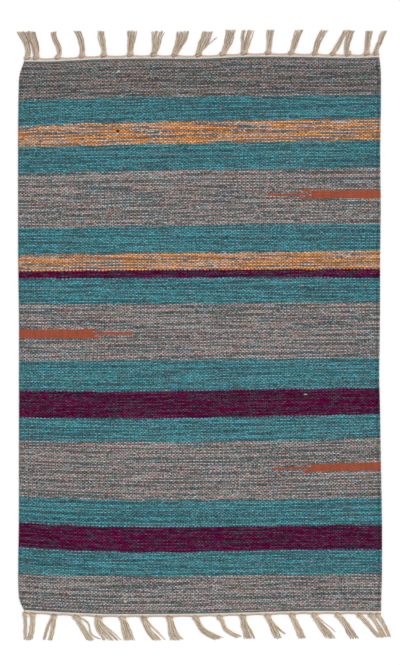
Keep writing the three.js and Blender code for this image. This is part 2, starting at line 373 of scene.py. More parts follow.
@dataclass
class Outline:
    """The woven field's outline, in millimetres in its own frame."""

    width: float = 600.0
    length: float = 917.0
    samples: int = 200

    def selvedge(self, side: int, y: np.ndarray) -> np.ndarray:
        """Gives X of the left (-1) or right (+1) selvedge at y."""
        column = "left" if side < 0 else "right"
        return side * (self.width / 2 - read_column(SELVEDGES, "y", column, y))

    def end(self, away: int, x: np.ndarray) -> np.ndarray:
        """Gives Y of the upper (+1) or lower (-1) end at x."""
        column = "upper" if away > 0 else "lower"
        return away * (self.length / 2 + read_column(FIELD_ENDS, "x", column, x))

    def shift(self) -> Vector:
        """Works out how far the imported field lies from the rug's own frame.

        Returns:
            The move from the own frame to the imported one, in metres.
        """
        low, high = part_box("woven_field")
        half = self.length / 2
        ys = np.linspace(-half, half, self.samples)
        left, right = self.selvedge(-1, ys).min(), self.selvedge(1, ys).max()
        xs = np.linspace(left, right, self.samples)
        bottom, top = self.end(-1, xs).min(), self.end(1, xs).max()
        middle = Vector(((left + right) / 2, (bottom + top) / 2, 0)) * MM
        return Vector(((low.x + high.x) / 2, (low.y + high.y) / 2, 0)) - middle


class Patch(NamedTuple):
    """Faces with the same number of corners: their two maps and their materials' numbers."""

    faces: np.ndarray
    weave: np.ndarray
    atlas: np.ndarray
    slots: Union[int, np.ndarray]


@dataclass
class MeshPile:
    """The corners, faces and maps of the parts that make up one piece."""

    points: list[np.ndarray] = field(default_factory=list)
    faces: list[list[int]] = field(default_factory=list)
    weave: list[np.ndarray] = field(default_factory=list)
    atlas: list[np.ndarray] = field(default_factory=list)
    slots: list[int] = field(default_factory=list)
    count: int = 0

    def add(self, points: np.ndarray, patches: Sequence[Patch]) -> None:
        """Adds one part.

        Args:
            points: The part's corners in metres.
            patches: Its faces, with corners numbered within the part.
        """
        for patch in patches:
            self.faces.extend((patch.faces + self.count).tolist())
            self.weave.append(patch.weave.reshape(-1, 2))
            self.atlas.append(patch.atlas.reshape(-1, 2))
            self.slots.extend(np.broadcast_to(patch.slots, len(patch.faces)).tolist())
        self.points.append(points)
        self.count += len(points)

    def build(self, name: str, materials: Sequence[Material], shift: Vector) -> Object:
        """Turns the pile into one object.

        Args:
            name: The object's name.
            materials: Its materials, in the order of the slot numbers.
            shift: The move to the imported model's frame.

        Returns:
            The new object, linked to the scene.
        """
        mesh = bpy.data.meshes.new(name)
        points = np.concatenate(self.points) + np.array(shift)
        mesh.from_pydata(points.tolist(), [], self.faces)
        for map_name, corners in (("OFBake", self.atlas), ("Weave", self.weave)):
            layer = mesh.uv_layers.new(name=map_name)
            layer.uv.foreach_set("vector", np.concatenate(corners).astype(np.float32).ravel())
        for material in materials:
            mesh.materials.append(material)
        mesh.polygons.foreach_set("material_index", np.array(self.slots, np.int32))
        mesh.polygons.foreach_set("use_smooth", np.ones(len(self.slots), bool))
        mesh.update()
        LOG.info("%s: %d corners, %d faces", name, self.count, len(self.faces))
        return add_object(name, mesh)


@dataclass(frozen=True)
class Signal:
    """A number or colour inside a material. Arithmetic on it adds nodes."""

    graph: "Graph"
    socket: NodeSocket

    def __add__(self, other: Value) -> "Signal":
        """Adds a number or a signal."""
        return self.graph.math("ADD", self, other)

    def __sub__(self, other: Value) -> "Signal":
        """Takes a number or a signal away."""
        return self.graph.math("SUBTRACT", self, other)

    def __rsub__(self, other: float) -> "Signal":
        """Takes the signal away from a number."""
        return self.graph.math("SUBTRACT", other, self)

    def __mul__(self, other: Value) -> "Signal":
        """Multiplies by a number or a signal."""
        return self.graph.math("MULTIPLY", self, other)

    def __truediv__(self, other: float) -> "Signal":
        """Divides by a number."""
        return self.graph.math("DIVIDE", self, other)

    def __abs__(self) -> "Signal":
        """Gives the size without the sign."""
        return self.graph.math("ABSOLUTE", self)


class Graph:
    """Lays down and links the nodes of one material."""

    def __init__(self, name: str) -> None:
        """Starts an empty material.

        Args:
            name: The material's name.
        """
        self.material = bpy.data.materials.new(name)
        self.material.use_nodes = True
        self.tree = self.material.node_tree
        self.tree.nodes.clear()

    def plug(self, socket: NodeSocket, value: Input) -> None:
        """Links a signal to a socket, or sets a plain value on it.

        Args:
            socket: The input to fill.
            value: The signal or the plain value.
        """
        if isinstance(value, Signal):
            self.tree.links.new(value.socket, socket)
        else:
            socket.default_value = value

    def node(self, kind: str, inputs: Inputs = (), **settings: str) -> Node:
        """Adds one node.

        Args:
            kind: The node's type, without its common first words.
            inputs: A value or a signal for each input, in order or by name.
            settings: Properties to set on the node.

        Returns:
            The new node.
        """
        node = self.tree.nodes.new("ShaderNode" + kind)
        for name, value in settings.items():
            setattr(node, name, value)
        for key, value in inputs.items() if isinstance(inputs, dict) else enumerate(inputs):
            self.plug(node.inputs[key], value)
        return node

    def read(self, node: Node, output: Union[int, str] = 0) -> Signal:
        """Gives one output of a node."""
        return Signal(self, node.outputs[output])

    def math(self, operation: str, *values: Value) -> Signal:
        """Works out one operation."""
        return self.read(self.node("Math", values, operation=operation))

    def pair(self, x: Value, y: Value) -> Signal:
        """Joins two numbers into a vector."""
        return self.read(self.node("CombineXYZ", (x, y)))

    def step(self, value: Signal, low: float, high: float) -> Signal:
        """Runs smoothly from 0 to 1 as the value goes from low to high."""
        ends = (low, high, 0.0, 1.0)
        return self.read(self.node("MapRange", (value, *ends), interpolation_type="SMOOTHSTEP"))

    def blend(self, factor: Value, low: Shade, high: Shade, mode: str = "MIX") -> Signal:
        """Mixes two colours.

        Args:
            factor: How much of the second colour there is, from 0 to 1.
            low: The first colour.
            high: The second colour.
            mode: How the second colour is laid over the first.

        Returns:
            The mixed colour.
        """
        node = self.node("Mix", data_type="RGBA", blend_type=mode)
        for name, value in (("Factor", factor), ("A", low), ("B", high)):
            self.plug(next(s for s in node.inputs if s.name == name and s.enabled), value)
        return Signal(self, next(s for s in node.outputs if s.enabled))

    def noise(self, x: Value, y: Value, scale: float, detail: float = 1.0) -> Signal:
        """Gives a soft noise over x and y, from about 0 to 1."""
        inputs = {"Vector": self.pair(x, y), "Scale": scale, "Detail": detail}
        return self.read(self.node("TexNoise", inputs, noise_dimensions="2D"))

    def random(self, *keys: Signal) -> tuple[Signal, Signal, Signal]:
        """Gives three even random numbers for each value of the keys.

        Args:
            keys: One or two whole numbers.

        Returns:
            The three numbers, from 0 to 1.
        """
        inputs = {"W": keys[0]} if len(keys) == 1 else {"Vector": self.pair(*keys)}
        node = self.node("TexWhiteNoise", inputs, noise_dimensions=f"{len(keys)}D")
        parts = self.node("SeparateColor", (self.read(node, "Color"),))
        return self.read(parts, 0), self.read(parts, 1), self.read(parts, 2)

    def weave_map(self) -> tuple[Signal, Signal]:
        """Reads both numbers of the yarn map."""
        parts = self.node("SeparateXYZ", (self.read(self.node("UVMap", uv_map="Weave")),))
        return self.read(parts, 0), self.read(parts, 1)

    def dim(self, value: Signal, edge: Signal, start: float, full: float, by: float) -> Signal:
        """Darkens a value towards an edge, as painted shade.

        Args:
            value: The value to darken.
            edge: How near the edge is, 1 on it.
            start: The nearness at which the darkening starts.
            full: The nearness at which it is full.
            by: The share that is taken off there.

        Returns:
            The darkened value.
        """
        return value * (1.0 - self.step(edge, start, full) * by)

    def shade(self, colour: Signal, value: Signal, blue: Optional[Signal] = None) -> Signal:
        """Multiplies a colour by a value, and its blue by another one where that is given."""
        grey = self.read(self.node("CombineColor", (value, value, blue or value)))
        return self.blend(1.0, colour, grey, "MULTIPLY")

    def finish(
        self,
        colour: Signal,
        height: Signal,
        depth: float,
        roughness: float,
        sheen: float,
        specular: float = 0.15,
    ) -> Material:
        """Ends the material in a rough cloth shader.

        Args:
            colour: The base colour.
            height: The relief, from 0 to about 1.
            depth: How deep a relief of 1 is, in metres.
            roughness: The shader's roughness.
            sheen: How much soft light the loose fibres catch.
            specular: How strong the shader's highlights are.

        Returns:
            The finished material.
        """
        bump = self.node("Bump", {"Strength": 1.0, "Distance": depth, "Height": height})
        inputs = {
            "Base Color": colour,
            "Roughness": roughness,
            "Sheen Weight": sheen,
            "Sheen Roughness": 0.6,
            "Specular IOR Level": specular,
            "Normal": self.read(bump),
        }
        shader = self.node("BsdfPrincipled", inputs)
        self.node("OutputMaterial", {"Surface": self.read(shader)})
        return self.material


@dataclass(frozen=True)
class FloatCell:
    """The float that a point of the cloth lies on, and its place on it."""

    u: Signal
    warp: Signal
    pick: Signal
    across: Signal
    along: Signal
    side_edge: Signal
    end_edge: Signal

    def swell(self) -> Signal:
        """Gives the float's round height, 1 along its middle and 0 on its sides."""
        return 1.0 - self.side_edge * self.side_edge

    def fibres(self) -> Signal:
        """Gives fine random lines that run along the float."""
        return self.u.graph.noise(self.u * 2.0, self.along * 9.0, scale=1.6, detail=2.0)


def float_cell(graph: Graph) -> FloatCell:
    """Finds the float under each point from the weave map.

    The floats lie like bricks with pointed ends: on each pick they cross every second warp, one
    warp further on than those of the pick before. The nearer of two is the point's own: that of
    the nearest pick, and that of the pick next to it.

    Args:
        graph: The material to add the nodes to.

    Returns:
        The numbers of the float's warp and pick, the place on it, and how near its edges are.
    """
    u, v = graph.weave_map()

    def measure(pick: Signal) -> tuple[Signal, ...]:
        """Finds the nearest float of one pick.

        Args:
            pick: The number of the pick.

        Returns:
            The pick, the float's warp, the place across and along it, and how far out that is.
        """
        warp = graph.math("ROUND", (u - pick) * 0.5) * 2.0 + pick
        across, along = u - warp, v - pick
        return pick, warp, across, along, abs(across) * FLOAT_TAPER + abs(along)

    near_pick = graph.math("ROUND", v)
    near = measure(near_pick)
    beyond = measure(near_pick + graph.math("SIGN", v - near_pick))
    is_beyond = graph.math("LESS_THAN", beyond[-1], near[-1])
    pick, warp, across, along, out = (
        (second - first) * is_beyond + first for first, second in zip(near, beyond)
    )
    pick, warp = graph.math("ROUND", pick), graph.math("ROUND", warp)
    side_edge = out / ((1 + FLOAT_TAPER) / 2)
    return FloatCell(u, warp, pick, across, along, side_edge, abs(across))


@dataclass(frozen=True)
class MarlYarn:
    """A weft of two twisted plies, one light and one dark, each of two tints."""

    name: str
    light: str
    light_tint: str
    dark: str
    dark_tint: str

    # The twist: what sets floats, picks and pairs of picks apart, in turns
    float_slip: float = 0.2
    pick_slip: float = 0.25
    stretch: float = 0.04
    least_drift: float = 0.2
    drift: float = 1.4
    drift_row: float = 97.3
    lean: float = 0.5
    across_lean: float = 0.06

    # The plies and their tints, and the flecks and threads that stray into them
    contrast: float = 0.3
    speck: float = 4.0
    speck_scale: float = 1.1
    speck_row: float = 5.3
    tint_share: float = 0.5
    tint_turn: float = 4.3
    tint_speck: float = 2.0
    tint_patches: float = 5.0
    tint_detail: float = 0.13
    tint_row: float = 61.7
    tint_softness: float = 1.4
    fleck: str = "c9bdb6"
    fleck_share: float = 0.0003
    stray: str = "17607f"
    stray_share: float = 0.0005
    flaw_cover: float = 0.8

    # Tone that differs at random, and painted shade between the floats and by the right selvedge
    least_tone: float = 0.88
    tone_spread: float = 0.34
    speck_tone: float = 0.7
    least_blue: float = 0.9
    blue_spread: float = 0.2
    least_patch: float = 0.9
    patch_spread: float = 0.2
    gap_shade: float = 0.7
    dip_shade: float = 0.6
    groove_shade: float = 0.3

    # Relief and surface
    ply_height: float = 0.2
    fibre_height: float = 0.2
    depth: float = 0.0007
    roughness: float = 0.92
    specular: float = 0.15
    sheen: float = 0.05

    def material(self) -> Material:
        """Makes the yarn's material.

        Returns:
            The material, which reads the weave map.
        """
        graph = Graph(self.name)
        cell = float_cell(graph)
        first, second, third = graph.random(cell.warp, cell.pick)
        turns = self.turns(graph, cell, second)
        speck_y = cell.pick * self.speck_row + cell.along
        speck = graph.noise(cell.u * self.speck_scale, speck_y, scale=1.0) - 0.5

        is_light = graph.math("COSINE", turns * math.tau) + speck * self.speck
        is_light = graph.step(is_light, -0.5 / self.contrast, 0.5 / self.contrast)
        tint = self.tint(graph, cell, turns, third)
        light = graph.blend(tint, linear(self.light), linear(self.light_tint))
        dark = graph.blend(tint, linear(self.dark), linear(self.dark_tint))
        colour = graph.blend(is_light, dark, light)
        is_fleck = graph.math("GREATER_THAN", third, 1 - self.fleck_share) * self.flaw_cover
        colour = graph.blend(is_fleck, colour, linear(self.fleck))
        is_stray = graph.math("LESS_THAN", third, self.stray_share) * self.flaw_cover
        colour = graph.blend(is_stray, colour, linear(self.stray))

        value = first * self.tone_spread + self.least_tone + speck * self.speck_tone
        value = self.value(graph, cell, value)
        colour = graph.shade(colour, value, value * (first * self.blue_spread + self.least_blue))
        ply = abs(graph.math("COSINE", turns * math.pi))
        height = cell.swell() + ply * self.ply_height + cell.fibres() * self.fibre_height
        return graph.finish(colour, height, self.depth, self.roughness, self.sheen, self.specular)

    def turns(self, graph: Graph, cell: FloatCell, chance: Signal) -> Signal:
        """Finds how far the yarn is twisted, which runs on along a pick and its neighbour.

        Args:
            graph: The material to add the nodes to.
            cell: The float under the point.
            chance: A random number of the float's own.

        Returns:
            The turns of the twist up to the point.
        """
        # An even pick and the odd one after it come off one length of yarn
        couple = graph.math("FLOOR", cell.pick * 0.5 + 0.25)
        start, stretch, lean = graph.random(couple)
        own = graph.random(cell.pick)[0]
        # Half a turn from pick to pick lays light floats against dark ones
        offset = cell.pick * 0.5 + start + own * self.pick_slip + chance * self.float_slip
        turns = cell.warp * ((stretch - 0.5) * self.stretch) + offset
        drift = graph.noise(cell.warp, couple * self.drift_row, scale=0.045, detail=2.0)
        turns += drift * (lean * self.drift + self.least_drift)
        return turns + cell.across * self.across_lean + cell.along * ((lean - 0.5) * self.lean)

    def tint(self, graph: Graph, cell: FloatCell, turns: Signal, chance: Signal) -> Signal:
        """Finds which of its two tints each ply shows.

        Args:
            graph: The material to add the nodes to.
            cell: The float under the point.
            turns: The turns of the twist up to the point.
            chance: A random number of the float's own.

        Returns:
            The second tint's share, from 0 to 1.
        """
        tint = graph.math("COSINE", turns * math.tau + self.tint_turn)
        patches = graph.noise(cell.u, cell.pick * self.tint_row, self.tint_detail, detail=2.0)
        tint += patches * self.tint_patches + chance * self.tint_speck
        middle = (self.tint_patches + self.tint_speck) / 2 + 2 * (0.5 - self.tint_share)
        return graph.step(tint, middle - self.tint_softness, middle + self.tint_softness)

    def value(self, graph: Graph, cell: FloatCell, value: Signal) -> Signal:
        """Lightens and darkens the yarn over the rug, and paints shade in the gaps between its floats.

        Args:
            graph: The material to add the nodes to.
            cell: The float under the point.
            value: The float's own value.

        Returns:
            The value at the point.
        """
        patches = graph.noise(cell.u, cell.pick, scale=0.035, detail=2.0)
        value *= patches * self.patch_spread + self.least_patch
        # Painted shade in the gaps between picks and in the dips at the floats' ends
        value = graph.dim(value, cell.side_edge, start=0.45, full=1.0, by=self.gap_shade)
        value = graph.dim(value, cell.end_edge, start=0.48, full=0.98, by=self.dip_shade)
        # Painted shade along a shallow dip beside the right selvedge
        groove_shade_mask = graph.step(cell.u, GROOVE.starts, GROOVE.full)
        groove_shade_mask *= graph.step(cell.u, GROOVE.ends, GROOVE.rises)
        return value * (1.0 - groove_shade_mask * self.groove_shade) * self.tone(graph, cell.pick)

    @staticmethod
    def tone(graph: Graph, pick: Signal) -> Signal:
        """Reads how light the stripe under a pick is.

        Args:
            graph: The material to add the nodes to.
            pick: The number of the pick.

        Returns:
            The stripe's tone, near 1.
        """
        ramp = graph.node("ValToRGB", (pick / Weave.picks,))
        ramp.color_ramp.interpolation = "CONSTANT"
        stops = ramp.color_ramp.elements
        for stripe, low in zip(reversed(STRIPES), reversed(Weave().stripe_picks())):
            stop = stops.new(low / Weave.picks) if low else stops[0]
            level = stripe.tone / 2
            stop.color = (level, level, level, 1)
        return graph.read(ramp) * 2.0


@dataclass(frozen=True)
class SolidYarn:
    """A weft of one colour, smooth, with its twist barely showing."""

    name: str
    colour: str
    worn: str
    wear_row: float = 3.1
    least_tone: float = 0.92
    tone_spread: float = 0.08
    rib_shading: float = 0.35
    dip_shade: float = 0.2
    gap_shade: float = 0.22
    fibre_height: float = 0.25
    depth: float = 0.0005

    def material(self) -> Material:
        """Makes the yarn's material.

        Returns:
            The material, which reads the weave map.
        """
        graph = Graph(self.name)
        cell = float_cell(graph)
        chance = graph.random(cell.warp, cell.pick)[0]
        # Painted light and shade of faint ridges running along the warps
        rib_light_and_shade = graph.noise(cell.u, 0.5, scale=0.5) - 0.5
        wear = graph.noise(cell.u, cell.pick * self.wear_row, scale=0.3, detail=2.0)
        colour = graph.blend(wear, linear(self.colour), linear(self.worn))
        value = chance * self.tone_spread + self.least_tone + rib_light_and_shade * self.rib_shading
        # Painted shade in the dips and gaps between the floats
        value = graph.dim(value, cell.end_edge, start=0.5, full=1.0, by=self.dip_shade)
        value = graph.dim(value, cell.side_edge, start=0.75, full=1.0, by=self.gap_shade)
        colour = graph.shade(colour, value)
        height = cell.swell() + cell.fibres() * self.fibre_height
        return graph.finish(colour, height, self.depth, roughness=0.88, sheen=0.08)


@dataclass(frozen=True)
class TasselCotton:
    """Undyed cotton warps, twisted, in the knots and tassels."""

    name: str = "tassel_cotton"
    pale: str = "d0bfab"
    tan: str = "c8b29b"
    brown: str = "a78e76"
    brightness: float = 0.83
    tone_spread: float = 0.18
    brown_from: float = 0.7
    brown_cover: float = 0.7
    lay: float = 0.22
    strands: float = 6.0
    depth: float = 0.00025

    def material(self) -> Material:
        """Makes the cotton's material.

        Returns:
            The material, which reads length along and turn around from the weave map.
        """
        graph = Graph(self.name)
        along, around = graph.weave_map()
        yarn = graph.math("FLOOR", (around + 1.0) / YARN_STRIDE)
        first, second, _ = graph.random(yarn)
        twist = along * self.lay + around * 2.0
        lines = graph.noise(twist * self.strands, along * 0.12, scale=1.0, detail=3.0)
        stain = graph.noise(along * 0.09, around, scale=1.0, detail=2.0)
        mixed = graph.step(lines * 0.5 + stain * 0.5, 0.35, 0.65)
        colour = graph.blend(mixed, linear(self.tan), linear(self.pale))
        is_brown = graph.step(second, self.brown_from, 1.0) * self.brown_cover
        colour = graph.blend(is_brown, colour, linear(self.brown))
        colour = graph.shade(colour, first * self.tone_spread + self.brightness)
        return graph.finish(colour, lines, self.depth, roughness=0.9, sheen=0.1)


@dataclass(frozen=True)
class HeadingCotton:
    """Undyed cotton woven into the narrow strip between the field and the knots."""

    name: str = "heading_cotton"
    white: str = "eee6db"
    blush: str = "d3baab"
    blush_start: float = 0.9
    blush_full: float = 2.4
    least_tone: float = 0.9
    tone_spread: float = 0.12
    gap_shade: float = 0.2
    depth: float = 0.0004

    def material(self) -> Material:
        """Makes the heading's material, near white by the field and warmer further out.

        Returns:
            The material, which reads the weave map.
        """
        graph = Graph(self.name)
        cell = float_cell(graph)
        chance = graph.random(cell.warp, cell.pick)[0]
        out = graph.step(cell.pick, self.blush_start, self.blush_full)
        colour = graph.blend(out, linear(self.white), linear(self.blush))
        value = chance * self.tone_spread + self.least_tone
        # Painted shade in the gaps between the picks
        value = graph.dim(value, cell.side_edge, start=0.6, full=1.0, by=self.gap_shade)
        colour = graph.shade(colour, value)
        return graph.finish(colour, cell.swell(), self.depth, roughness=0.9, sheen=0.08)


YARNS = {
    Yarn.GREY: MarlYarn(
        "grey_marl", light="c2a7a0", light_tint="aab3af", dark="5f5256", dark_tint="476067"
    ),
    Yarn.TEAL: MarlYarn(
        "teal_marl",
        light="51a7b0",
        light_tint="689ba2",
        dark="2b6270",
        dark_tint="41525b",
        dip_shade=0.5,
    ),
    Yarn.ORANGE: MarlYarn(
        "orange_marl",
        light="fca750",
        light_tint="c8b7ad",
        dark="cd7d34",
        dark_tint="436c7c",
        tint_share=0.56,
        contrast=0.6,
        tint_speck=0.4,
        tint_detail=0.06,
        tint_turn=1.57,
        dip_shade=0.55,
        speck=2.5,
    ),
    Yarn.PURPLE: MarlYarn(
        "purple_marl",
        light="64475a",
        light_tint="78094a",
        dark="2e3441",
        dark_tint="4d0732",
        tint_turn=1.57,
        tint_share=0.6,
        specular=0.02,
        sheen=0.0,
    ),
    Yarn.RUST: SolidYarn("rust_weft", colour="aa553b", worn="9b4c33"),
    Yarn.EDGE: SolidYarn("edge_weft", colour="73857a", worn="55645c"),
    Yarn.BURR: SolidYarn("dark_burr", colour="1d1710", worn="2b2218"),
    Yarn.SLUB: SolidYarn("pale_slub", colour="d6c6c2", worn="c4b5b0"),
}


@dataclass
class Weave:
    """The plain weave of the field: its counts, and where each crossing lies."""

    warps: int = 198
    picks: int = 372
    waver: float = 0.75
    waver_hills: tuple[int, int] = (26, 124)
    warp_waver: float = 0.8
    warp_waver_hills: tuple[int, int] = (80, 16)
    warp_drift: float = 1.3
    warp_drift_hills: tuple[int, int] = (22, 14)
    edge_fade: float = 20.0

    def stripe_picks(self) -> list[int]:
        """Gives the first pick of each stripe, counted from the lower end."""
        length = Outline().length
        return [max(0, round((stripe.at / length + 0.5) * self.picks)) for stripe in STRIPES]

    def places(self, outline: Outline) -> tuple[np.ndarray, np.ndarray]:
        """Works out X and Y of every crossing.

        Args:
            outline: The field's outline.

        Returns:
            Two grids in millimetres, by warp and pick.
        """
        i = np.arange(self.warps + 1)[:, None] / self.warps
        j = np.arange(self.picks + 1)[None, :] / self.picks
        flat_y = (j - 0.5) * outline.length
        left, right = outline.selvedge(-1, flat_y), outline.selvedge(1, flat_y)
        x = left + (right - left) * i
        # Bows and sways are shaped so that they leave the stripe's height and its tilt alone
        s = x / (outline.width / 2)
        lines = [outline.end(1, x)]
        for stripe in STRIPES[:-1]:
            bend = stripe.bow * (s**2 - 1 / 3) + stripe.sway * (s**3 - 0.6 * s)
            lines.append(stripe.at + stripe.tilt * s + bend)
        lines.append(outline.end(-1, x))
        firsts = [self.picks, *self.stripe_picks()]
        y = np.empty_like(x)
        for upper, lower, top, bottom in zip(lines, lines[1:], firsts, firsts[1:]):
            rows = np.arange(bottom, top + 1)
            t = (rows - bottom) / (top - bottom)
            y[:, rows] = lower[:, rows] * (1 - t) + upper[:, rows] * t
        rng = np.random.default_rng(SEED)
        inner_i, inner_j = (
            (np.minimum(share, 1 - share) * self.edge_fade).clip(0, 1) for share in (i, j)
        )
        inner = inner_i * inner_j
        y += self.waver * inner * smooth_noise(x.shape, self.waver_hills, rng)
        x += self.warp_waver * inner * smooth_noise(x.shape, self.warp_waver_hills, rng)
        x += self.warp_drift * inner * smooth_noise(x.shape, self.warp_drift_hills, rng)
        return x, y

    def yarns(self) -> np.ndarray:
        """Finds the yarn of each float.

        Returns:
            The number of the yarn by warp, pick, and the float's lower or upper half.
        """
        grid = np.zeros((self.warps + 1, self.picks + 1, 2), int)
        tops = [self.picks + 1, *self.stripe_picks()]
        for stripe, top, bottom in zip(STRIPES, tops, tops[1:]):
            grid[:, bottom:top] = stripe.yarn.value
        grid[:, [0, -1]] = Yarn.EDGE.value
        warp = np.arange(self.warps + 1)[:, None, None]
        half_middles = np.array([-0.25, 0.25])
        height = np.arange(self.picks + 1)[None, :, None] + half_middles
        for inset in INSETS:
            across = (warp > inset.left) & (warp < inset.right)
            grid[across & (height > inset.low) & (height < inset.high)] = Yarn.RUST.value
        for flaw in FLAWS:
            grid[flaw.warp, flaw.pick] = flaw.yarn.value
        return grid


@dataclass
class WovenSheet:
    """A closed sheet of plain weave over a grid of crossings, in millimetres."""

    x: np.ndarray
    y: np.ndarray
    thickness: float
    relief: float
    edge: float
    tooth: float = 0.25
    tooth_uneven: float = 0.1
    waist: float = 0.45
    waist_step: float = 0.7
    rim_drop: float = 0.7
    under_relief: float = 0.4
    uneven: float = 0.15
    map_gap: float = 4.0

    def flip(self) -> int:
        """Tells whether y rises (1) or falls (-1) from pick to pick."""
        return 1 if self.y[0, -1] > self.y[0, 0] else -1

    def inset(self) -> tuple[np.ndarray, np.ndarray]:
        """Draws the outermost ring of crossings in from the outline by the edge's rounding.

        Returns:
            The new X and Y of every crossing.
        """
        x, y = self.x.copy(), self.y.copy()
        x[0, :] += self.edge
        x[-1, :] -= self.edge
        y[:, 0] += self.edge * self.flip()
        y[:, -1] -= self.edge * self.flip()
        return x, y

    def ring(self) -> np.ndarray:
        """Lists the grid places round the edge, turning left.

        Returns:
            A row for each place, with its warp and pick.
        """
        last_i, last_j = self.x.shape[0] - 1, self.x.shape[1] - 1
        lower = [(i, 0) for i in range(last_i)]
        right = [(last_i, j) for j in range(last_j)]
        upper = [(i, last_j) for i in range(last_i, 0, -1)]
        left = [(0, j) for j in range(last_j, 0, -1)]
        return np.array(lower + right + upper + left)

    def outward(self, ring: np.ndarray) -> np.ndarray:
        """Gives the way out of the grid at each place of the ring, as steps of warp and pick."""
        last = np.array(self.x.shape) - 1
        return (ring == last).astype(int) - (ring == 0).astype(int)

    def top_points(self, rng: np.random.Generator) -> np.ndarray:
        """Places the crossings of the upper face, crests and hollows in turn.

        Args:
            rng: The seeded generator for the floats' unevenness.

        Returns:
            A row for each point, in millimetres.
        """
        i, j = np.indices(self.x.shape)
        spread = 1 - self.uneven * rng.random(self.x.shape)
        z = self.thickness - self.relief * np.where((i + j) % 2 == 0, 1 - spread, spread)
        z[[0, -1], :] -= self.rim_drop
        z[:, [0, -1]] -= self.rim_drop
        return np.stack([*self.inset(), z], axis=-1).reshape(-1, 3)

    def waist_points(self, ring: np.ndarray, rng: np.random.Generator) -> np.ndarray:
        """Places the small teeth that run round the edge, half way down it.

        Args:
            ring: The grid places round the edge.
            rng: The seeded generator for the teeth's unevenness.

        Returns:
            A row for each point, in millimetres.
        """
        teeth = self.tooth * (1 - 2 * (ring.sum(axis=1) % 2))
        teeth = teeth + rng.uniform(-self.tooth_uneven, self.tooth_uneven, len(ring))
        at = np.stack([grid[ring[:, 0], ring[:, 1]] for grid in (self.x, self.y)], axis=1)
        at = at + self.outward(ring) * np.array([1, self.flip()]) * teeth[:, None]
        return np.column_stack([at, np.full(len(ring), self.waist * self.thickness)])

    def under_points(self) -> np.ndarray:
        """Places every second crossing of the lower face.

        Returns:
            A row for each point, in millimetres.
        """
        x, y = (grid[::2, ::2] for grid in self.inset())
        z = self.under_relief * (np.indices(x.shape).sum(axis=0) % 2)
        return np.stack([x, y, z], axis=-1).reshape(-1, 3)

    def top_faces(self, yarns: np.ndarray) -> list[tuple[np.ndarray, np.ndarray]]:
        """Cuts each mesh of the upper face into the halves of its two floats.

        Args:
            yarns: The material's number by warp, pick, and lower or upper half of the float.

        Returns:
            The first and the second halves, each with their materials.
        """
        # The cut joins the two hollows, so that each half lies on the float of its one crest
        number = np.arange(self.x.size).reshape(self.x.shape)
        i, j = np.indices(number[1:, 1:].shape).reshape(2, -1)
        a, b, c, d = number[i, j], number[i + 1, j], number[i + 1, j + 1], number[i, j + 1]
        rises = (i + j) % 2 == 0
        first = np.where(rises[:, None], np.stack([a, b, d], 1), np.stack([a, b, c], 1))
        second = np.where(rises[:, None], np.stack([b, c, d], 1), np.stack([a, c, d], 1))
        first_yarn = np.where(rises, yarns[i, j, 1], yarns[i + 1, j, 1])
        second_yarn = np.where(rises, yarns[i + 1, j + 1, 0], yarns[i, j + 1, 0])
        return [(first, first_yarn), (second, second_yarn)]

    def edge_faces(self, ring: np.ndarray, yarns: np.ndarray) -> list[tuple[np.ndarray, np.ndarray]]:
        """Joins the upper face to the teeth round the edge, and the teeth to the lower face.

        Args:
            ring: The grid places round the edge.
            yarns: The material's number by warp, pick, and lower or upper half of the float.

        Returns:
            The faces above and below the teeth, each with their materials.
        """
        top = ring[:, 0] * self.x.shape[1] + ring[:, 1]
        waist = self.x.size + np.arange(len(ring))
        under_columns = (self.x.shape[1] + 1) // 2
        under = self.x.size + len(ring) + ring[::2, 0] // 2 * under_columns + ring[::2, 1] // 2
        even, odd = waist[::2], waist[1::2]
        next_even, next_under = np.roll(even, -1), np.roll(under, -1)
        above = np.stack([waist, np.roll(waist, -1), np.roll(top, -1), top], 1)
        below = np.concatenate([
            np.stack([under, odd, even], 1),
            np.stack([under, next_under, odd], 1),
            np.stack([next_under, next_even, odd], 1),
        ])
        yarn = yarns[ring[:, 0], ring[:, 1], 1]
        return [(above, yarn), (below, np.tile(yarn[::2], 3))]

    def under_faces(self, start: int, yarns: np.ndarray) -> tuple[np.ndarray, np.ndarray]:
        """Closes the lower face.

        Args:
            start: The number of the lower face's first corner.
            yarns: The material's number by warp, pick, and lower or upper half of the float.

        Returns:
            The faces and their materials.
        """
        rows, columns = (count // 2 for count in self.x.shape)
        i, j = np.indices((rows, columns)).reshape(2, -1)
        corner = start + i * (columns + 1) + j
        faces = np.stack([corner, corner + 1, corner + columns + 2, corner + columns + 1], 1)
        return faces, yarns[2 * i + 1, 2 * j + 1, 0]

    def add_to(
        self,
        pile: MeshPile,
        yarns: np.ndarray,
        atlas_at: tuple[float, float],
        atlas_scale: float,
    ) -> None:
        """Adds the sheet to a pile as one closed skin.

        Args:
            pile: The pile to add to.
            yarns: The material's number by warp, pick, and lower or upper half of the float.
            atlas_at: The lower left corner of the sheet's place on the bake map.
            atlas_scale: The bake map's units for each millimetre.
        """
        rng = np.random.default_rng(SEED + self.x.size)
        ring = self.ring()
        top, waist = self.top_points(rng), self.waist_points(ring, rng)
        points = np.concatenate([top, waist, self.under_points()])
        top_numbers = np.indices(self.x.shape).reshape(2, -1).T
        waist_numbers = ring + self.waist_step * self.outward(ring)
        under_numbers = 2 * np.indices(self.x[::2, ::2].shape).reshape(2, -1).T
        weave = np.concatenate([top_numbers, waist_numbers, under_numbers])

